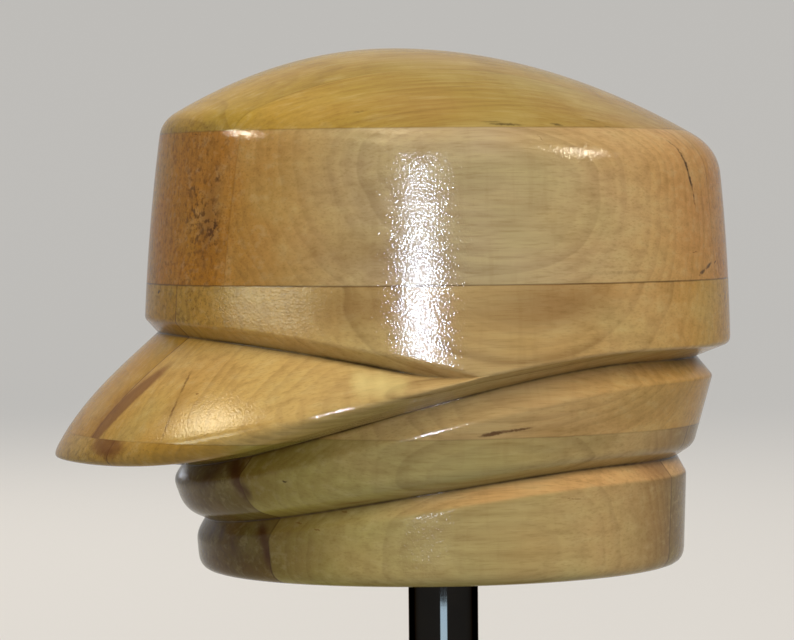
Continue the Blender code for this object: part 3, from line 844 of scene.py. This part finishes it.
    # Cracks, flecks and stains, and the marks of painted shade and painted reflection, with edges
    # ragged by about half a millimetre
    rag = add(tree, "TexNoise", {"Vector": at, "Scale": 700.0, "Detail": 3.0})
    ragged = add(tree, "VectorMath", {0: rag.outputs["Color"], 1: HALF}, operation="SUBTRACT")
    ragged = add(
        tree, "VectorMath", {0: ragged, 1: (2.4 * MM, 1.2 * MM, 1.0 * MM), 2: at},
        operation="MULTIPLY_ADD",
    )
    speck = add(tree, "MapRange", {"Value": pattern["mottle"], "From Min": 0.48, "From Max": 0.60})
    for start, finish, half_width, softness, amount, tone in MARKS.get(node, []):
        strength = mark_strength(tree, ragged.outputs[0], start, finish, half_width, softness)
        if tone == SPECKS:
            strength = add(tree, "Math", {0: strength, 1: speck}, operation="MULTIPLY")
        strength = add(tree, "Math", {0: strength, 1: amount}, operation="MULTIPLY")
        over.append((strength, tone))

    wood = shades
    for strength, tone in over:
        wood = add(tree, "Mix", {0: strength, 6: wood, 7: colour(tone)}, data_type="RGBA").outputs[2]

    # Fibres telegraph through the sanded wood, and the lacquer has an orange-peel skin whose
    # bumps are about 0.85 mm across
    peel = add(tree, "TexNoise", {"Vector": at, "Scale": 1180.0, "Detail": 1.0})
    for socket, fibre_height, peel_height in (("Normal", 0.02, 0.03), ("Coat Normal", 0.018, 0.114)):
        fibres = add(
            tree, "Bump", {"Strength": 1.0, "Distance": fibre_height * MM, "Height": pattern["fibre"]}
        )
        skin = add(
            tree, "Bump",
            {"Strength": 1.0, "Distance": peel_height * MM, "Height": peel, "Normal": fibres},
        )
        fill(tree, shader, {socket: skin})
    # Lacquer has an IOR of about 1.5. This one shines less, so its IOR is matched to it
    fill(tree, shader, {
        "Base Color": wood, "Roughness": 0.50, "Specular IOR Level": 0.0,
        "Coat Weight": 0.75, "Coat IOR": 1.36, "Coat Roughness": 0.08,
    })
    return made


form = carved_form()
pieces = {}
for layer in LAYERS:
    for place in PLACES:
        node = f"{layer}_board_{place}"
        board = cut_board(form, layer, place)
        wear(board, lacquered_lime(node))
        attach(board, "block")
        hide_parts(node)
        pieces[node] = board
bpy.data.objects.remove(form)


# The post and the foot

def draw_out(profile):
    """Draws the selected ring out through (radius, height) points in metres."""
    for (before, low), (after, high) in zip(profile, profile[1:]):
        bpy.ops.mesh.extrude_edges_move(TRANSFORM_OT_translate={"value": (0.0, 0.0, high - low)})
        bpy.ops.transform.resize(
            value=(after / before, after / before, 1.0), center_override=(0.0, 0.0, high)
        )


def turned_on_lathe(name, profile, sides):
    """A turned piece: a circle drawn out ring by ring. A first or last ring that isn't met by
    the other end is closed by a flat face."""
    bpy.ops.object.select_all(action="DESELECT")
    radius, height = profile[0]
    closed = profile[0] == profile[-1]
    bpy.ops.mesh.primitive_circle_add(
        vertices=sides, radius=radius, location=(0.0, 0.0, height),
        fill_type="NOTHING" if closed else "NGON",
    )
    piece = bpy.context.active_object
    piece.name = piece.data.name = name
    bpy.ops.object.transform_apply(location=True, rotation=True, scale=True)
    bpy.ops.object.mode_set(mode="EDIT")
    bpy.ops.mesh.select_mode(type="EDGE")
    bpy.ops.mesh.select_all(action="SELECT")
    draw_out(profile)
    if not closed:
        bpy.ops.mesh.edge_face_add()
    bpy.ops.mesh.select_all(action="SELECT")
    bpy.ops.mesh.remove_doubles(threshold=0.005 * MM)
    bpy.ops.mesh.normals_make_consistent(inside=False)
    bpy.ops.object.mode_set(mode="OBJECT")
    bpy.ops.object.shade_smooth_by_angle(angle=math.radians(30.0))
    return piece


def soft_corner(centre, radius, start, end, steps):
    """(radius, height) points on an arc, angles in degrees."""
    angles = [math.radians(start + (end - start) * i / steps) for i in range(steps + 1)]
    return [(centre[0] + radius * math.cos(a), centre[1] + radius * math.sin(a)) for a in angles]


def make_post():
    outer, wall, edge = POST_RADIUS, 1.5 * MM, 0.4 * MM
    inner = outer - wall
    profile = [
        (inner + edge, POST_LOW.z), (outer - edge, POST_LOW.z), (outer, POST_LOW.z + edge),
        (outer, POST_HIGH.z - edge), (outer - edge, POST_HIGH.z), (inner + edge, POST_HIGH.z),
        (inner, POST_HIGH.z - edge), (inner, POST_LOW.z + edge), (inner + edge, POST_LOW.z),
    ]
    return turned_on_lathe("post_tube", profile, 128)


def make_foot():
    radius = (FOOT_HIGH.x - FOOT_LOW.x) / 2.0
    bore = POST_RADIUS + CLEARANCE
    wall = bore + 6.0 * MM
    thick, edge, fillet, floor = 12.0 * MM, 3.0 * MM, 6.0 * MM, 6.0 * MM
    top_edge, bevel = 1.5 * MM, 0.5 * MM
    profile = [(radius - edge / 2.0, 0.0), (radius, edge / 2.0)]
    profile += soft_corner((radius - edge, thick - edge), edge, 0.0, 90.0, 8)
    profile += soft_corner((wall + fillet, thick + fillet), fillet, 270.0, 180.0, 10)
    profile += soft_corner((wall - top_edge, FOOT_HIGH.z - top_edge), top_edge, 0.0, 90.0, 5)
    profile += [(bore + bevel, FOOT_HIGH.z), (bore, FOOT_HIGH.z - bevel), (bore, floor)]
    return turned_on_lathe("turned_foot", profile, 192)


def painted_dark_chrome():
    """Steel tube, drawn, polished and chrome plated. Its near black colour is painted, and stands
    for a dark room mirrored in the chrome; its brown edges are a painted reflection. Lamps
    stand in it as narrow bright lines, with faint polishing lines round the tube."""
    made, tree, shader = new_finish("painted_dark_chrome")
    at = add(tree, "TexCoord").outputs["Object"]
    # The polishing lines are a few hundredths of a millimetre, drawn 0.4 mm so that they show
    round_tube = add(tree, "Mapping", {"Vector": at, "Scale": (60.0, 60.0, 2500.0)})
    lines = add(tree, "TexNoise", {"Vector": round_tube, "Scale": 1.0, "Detail": 3.0})
    smear = add(tree, "TexNoise", {"Vector": at, "Scale": 55.0, "Detail": 3.0})
    mixed = add(tree, "Math", {0: lines, 1: smear}, operation="MULTIPLY")
    rough = add(
        tree, "MapRange",
        {"Value": mixed, "From Min": 0.12, "From Max": 0.42, "To Min": 0.03, "To Max": 0.06},
    )
    # Painted near black: it stands for a dark room mirrored in the chrome
    tone = add(tree, "Mix", {0: smear, 6: colour("#1A1B1D"), 7: colour("#24221F")}, data_type="RGBA")
    polish = add(tree, "Bump", {"Strength": 1.0, "Distance": 0.001 * MM, "Height": lines})
    # The brown specular tint paints a brown reflection at the tube's edges
    fill(tree, shader, {
        "Base Color": tone.outputs[2], "Roughness": rough, "Normal": polish,
        "Specular Tint": colour("#6E5638"), "Metallic": 1.0,
    })
    return made


def turned_steel():
    """Mild steel, faced and turned on a lathe, left bare: satin grey with fine rings round the
    middle, which spread each light into a fan."""
    made, tree, shader = new_finish("turned_steel")
    at = add(tree, "TexCoord").outputs["Object"]
    level = add(tree, "VectorMath", {0: at, 1: (1.0, 1.0, 0.0)}, operation="MULTIPLY")
    away = add(tree, "VectorMath", {0: level}, operation="LENGTH").outputs["Value"]
    spot = add(tree, "SeparateXYZ", {0: at})
    path = add(tree, "Math", {0: away, 1: spot.outputs["Z"]}, operation="ADD")
    # The tool's feed is 0.15 mm, drawn three times as coarse so that it shows
    feed = add(tree, "Math", {0: path, 1: 2200.0}, operation="MULTIPLY")
    cuts = add(tree, "TexNoise", {"W": feed, "Scale": 1.0, "Detail": 3.0}, noise_dimensions="1D")
    smear = add(tree, "TexNoise", {"Vector": at, "Scale": 28.0, "Detail": 4.0})
    tone = add(tree, "Mix", {0: smear, 6: colour("#8E8E8D"), 7: colour("#A9A8A5")}, data_type="RGBA")
    rough = add(
        tree, "MapRange",
        {"Value": cuts, "From Min": 0.3, "From Max": 0.7, "To Min": 0.26, "To Max": 0.42},
    )
    ridges = add(tree, "Bump", {"Strength": 1.0, "Distance": 0.01 * MM, "Height": cuts})
    fill(tree, shader, {
        "Base Color": tone.outputs[2], "Roughness": rough, "Normal": ridges, "Metallic": 1.0,
    })
    return made


for piece, body, node, slot, finish in (
    (make_post(), "post", "post", "polished_tube", painted_dark_chrome()),
    (make_foot(), "foot", "foot", "foot_steel", turned_steel()),
):
    wear(piece, finish)
    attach(piece, body)
    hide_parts(node)
    pieces[node] = piece


# The camera, from where the photograph was taken

IMAGE_WIDTH, IMAGE_HEIGHT = 794.0, 640.0
FOCAL_PIXELS, SENSOR_WIDTH = 3125.0, 36.0
AXIS_PIXEL, HORIZON_PIXEL = 441.0, 210.0
CAMERA_TURN, CAMERA_ROLL = math.radians(14.0), math.radians(0.5)
CAMERA_DISTANCE, CAMERA_RISE = 1.25, 142.0 * MM


def place_camera():
    """The camera stands before the block's left side, a little towards the visor, and sees the
    block's axis and its own horizon at the pixels above."""
    towards = Vector((math.sin(CAMERA_TURN), math.cos(CAMERA_TURN), 0.0))
    eye = towards * -CAMERA_DISTANCE + Vector((0.0, 0.0, BLOCK_BOTTOM + CAMERA_RISE))
    yaw = math.atan((AXIS_PIXEL - IMAGE_WIDTH / 2.0) / FOCAL_PIXELS)
    pitch = -math.atan((IMAGE_HEIGHT / 2.0 - HORIZON_PIXEL) / FOCAL_PIXELS)
    forward = Matrix.Rotation(yaw, 3, "Z") @ towards
    right = forward.cross(Vector((0.0, 0.0, 1.0))).normalized()
    forward = Matrix.Rotation(pitch, 3, right) @ forward
    up = right.cross(forward)
    right, up = (
        right * math.cos(CAMERA_ROLL) - up * math.sin(CAMERA_ROLL),
        right * math.sin(CAMERA_ROLL) + up * math.cos(CAMERA_ROLL),
    )
    camera = bpy.data.objects.new("camera", bpy.data.cameras.new("camera"))
    bpy.context.scene.collection.objects.link(camera)
    camera.data.sensor_fit = "HORIZONTAL"
    camera.data.sensor_width = SENSOR_WIDTH
    camera.data.lens = FOCAL_PIXELS / IMAGE_WIDTH * SENSOR_WIDTH
    camera.data.clip_start = 0.05
    camera.data.clip_end = 50.0
    turn = Matrix((right, up, -forward)).transposed()
    camera.matrix_world = Matrix.Translation(eye) @ turn.to_4x4()
    bpy.context.scene.camera = camera


place_camera()


# The studio

FLOOR_RADIUS, COVE, COVE_STEPS, WALL_RISE = 3.0, 1.0, 8, 2.5


def floor_and_wall():
    """A wide round floor that turns up into a wall, painted a pale warm grey."""
    bpy.ops.object.select_all(action="DESELECT")
    bpy.ops.mesh.primitive_circle_add(
        vertices=96, radius=FLOOR_RADIUS, fill_type="NGON", location=(0.0, 0.0, 0.0)
    )
    floor = bpy.context.active_object
    floor.name = "studio_floor"
    bpy.ops.object.mode_set(mode="EDIT")
    bpy.ops.mesh.select_mode(type="EDGE")
    bpy.ops.mesh.select_all(action="SELECT")
    cove = soft_corner((FLOOR_RADIUS, COVE), COVE, -90.0, 0.0, COVE_STEPS)
    draw_out(cove + [(FLOOR_RADIUS + COVE, COVE + WALL_RISE)])
    bpy.ops.object.mode_set(mode="OBJECT")
    bpy.ops.object.shade_smooth_by_angle(angle=math.radians(30.0))
    paint, tree, surface = new_finish("matt_pale_paint")
    # The camera, metal and gloss see the pale paint. Light that bounces finds it darker.
    path = add(tree, "LightPath")
    seen = path.outputs["Is Camera Ray"]
    for ray in ("Is Glossy Ray", "Is Transmission Ray"):
        seen = add(tree, "Math", {0: seen, 1: path.outputs[ray]}, operation="MAXIMUM")
    tone = add(tree, "Mix", {0: seen, 6: colour("#585A4C"), 7: colour("#8C8A88")}, data_type="RGBA")
    glow = add(tree, "Math", {0: seen, 1: 0.50}, operation="MULTIPLY")
    fill(tree, surface, {
        "Base Color": tone.outputs[2], "Roughness": 0.9, "Specular IOR Level": 0.1,
        "Emission Color": colour("#F4F2EE"), "Emission Strength": glow,
    })
    wear(floor, paint)


def soften_edges(data, shares):
    """Makes a soft box fade out over these shares of its half width and half height."""
    data.use_nodes = True
    tree = data.node_tree
    across = add(tree, "NewGeometry")
    from_middle = add(
        tree, "VectorMath", {0: across.outputs["Parametric"], 1: HALF}, operation="SUBTRACT"
    )
    sides = add(tree, "SeparateXYZ", {0: from_middle})
    strength = 1.0
    for axis, share in zip("XY", shares):
        off = add(tree, "Math", {0: sides.outputs[axis]}, operation="ABSOLUTE")
        faded = add(
            tree, "MapRange",
            {"Value": off, "From Min": 0.5 - 0.5 * share, "From Max": 0.5, "To Min": 1.0, "To Max": 0.0},
            **SMOOTH,
        )
        strength = add(tree, "Math", {0: strength, 1: faded}, operation="MULTIPLY")
    fill(tree, tree.nodes["Emission"], {"Strength": strength})


def soft_box(name, azimuth, elevation, distance, size, power, tint, roll, soft, seen, on):
    """A lamp that faces the block. Azimuth 0 is before its left side, 90 before the visor.
    `seen` limits it to the gloss or to the body under it, and `on` names the pieces that it
    lights, where it is flagged off the others."""
    middle = Vector((0.0, 0.0, BLOCK_BOTTOM + 105.0 * MM))
    a, e = math.radians(azimuth), math.radians(elevation)
    away = Vector((-math.sin(a) * math.cos(e), -math.cos(a) * math.cos(e), math.sin(e)))
    data = bpy.data.lights.new(name, "AREA")
    data.shape = "RECTANGLE"
    data.size, data.size_y = size
    data.energy = power
    data.color = colour(tint)[:3]
    soften_edges(data, soft)
    light = bpy.data.objects.new(name, data)
    bpy.context.scene.collection.objects.link(light)
    light.location = middle + away * distance
    turned = away.to_track_quat("Z", "Y").to_matrix() @ Matrix.Rotation(math.radians(roll), 3, "Z")
    light.rotation_euler = turned.to_euler()
    light.visible_camera = False
    light.visible_glossy = seen != "body"
    light.visible_diffuse = seen != "gloss"
    if on:
        lit = bpy.data.collections.new(f"{name}_lights")
        for node in on:
            lit.objects.link(pieces[node])
        light.light_linking.receiver_collection = lit


CROWN_AND_DOME = [f"{layer}_board_{place}" for layer in ("crown", "dome") for place in PLACES]
CROWN_AND_VISOR = [f"{layer}_board_{place}" for layer in ("crown", "visor") for place in PLACES]
VISOR_AND_BASE = [f"{layer}_board_{place}" for layer in ("visor", "base") for place in PLACES]
RIGHT_BOARDS = [f"{layer}_board_right" for layer in LAYERS]
EDGE_BOARD, METAL = ["visor_board_left"], ["post", "foot"]
COOL, WARM, FILL_TINT = "#EAF0FF", "#FFF4DC", "#FFF3E0"

floor_and_wall()

# Name, azimuth, elevation, distance, width and height (metres), power (watts), tint, roll, the
# share of its half width and half height over which it fades, what sees it, what it lights.
# The key core gives the bright middle of the key strip's light on the crown. The table light
# stands in for what a pale table throws up, and tube_strip gives the line on the tube.
for settings in (
    ("key_strip", 13.0, 4.0, 1.8, (0.21, 1.00), 22.0, COOL, 5.0, (0.6, 0.6), "both", None),
    ("key_core", 13.0, 0.9, 1.8, (0.13, 0.86), 108.0, "#DCEAFF", 5.0, (0.6, 0.8), "gloss", CROWN_AND_VISOR),
    ("side_fill", -32.0, 42.0, 2.2, (1.2, 1.2), 40.0, FILL_TINT, 0.0, (0.3, 0.3), "body", None),
    ("top_fill", 66.0, 48.0, 2.2, (1.2, 1.2), 22.0, FILL_TINT, 0.0, (0.3, 0.3), "body", None),
    ("far_fill", 172.0, 40.0, 2.2, (1.2, 1.2), 40.0, FILL_TINT, 0.0, (0.3, 0.3), "body", None),
    ("far_strip", 165.0, 6.0, 1.9, (0.24, 0.9), 30.0, COOL, 0.0, (0.6, 0.6), "gloss", RIGHT_BOARDS),
    ("table_light", 0.0, -89.9, 0.221, (1.0, 1.0), 0.8, "#F2F4D8", 0.0, (0.5, 0.5), "body", VISOR_AND_BASE),
    ("edge_box", 72.0, 12.0, 2.2, (2.0, 1.3), 110.0, "#F0F6E0", 0.0, (0.5, 0.9), "gloss", EDGE_BOARD),
    ("rim_box", 28.5, 34.0, 1.9, (0.34, 0.24), 13.0, "#FFF0B4", 0.0, (0.8, 0.8), "gloss", CROWN_AND_DOME),
    ("tube_strip", 13.0, -19.8, 0.6, (0.24, 0.03), 0.86, "#C8E8FF", 0.0, (0.2, 0.1), "gloss", METAL),
    ("upper_box", 24.0, 55.0, 1.9, (0.55, 0.26), 18.0, "#FFEDB8", 0.0, (0.8, 0.8), "gloss", CROWN_AND_DOME),
    ("right_box", -50.0, 31.0, 1.9, (0.46, 0.26), 48.0, WARM, 0.0, (0.8, 0.8), "gloss", CROWN_AND_DOME),
    ("left_box", 91.0, 25.0, 1.9, (0.50, 0.30), 60.0, WARM, 0.0, (0.8, 0.8), "gloss", CROWN_AND_DOME),
    ("visor_box", 95.0, 47.0, 1.9, (1.20, 0.90), 90.0, "#FFEFC8", 0.0, (0.9, 0.9), "gloss", VISOR_AND_BASE),
):
    soft_box(*settings)

world = bpy.data.worlds.new("studio_air")
bpy.context.scene.world = world
world.use_nodes = True
fill(
    world.node_tree, world.node_tree.nodes["Background"],
    {"Color": colour("#E6E8EC"), "Strength": 0.30},
)

bpy.context.scene.view_settings.view_transform = "Standard"
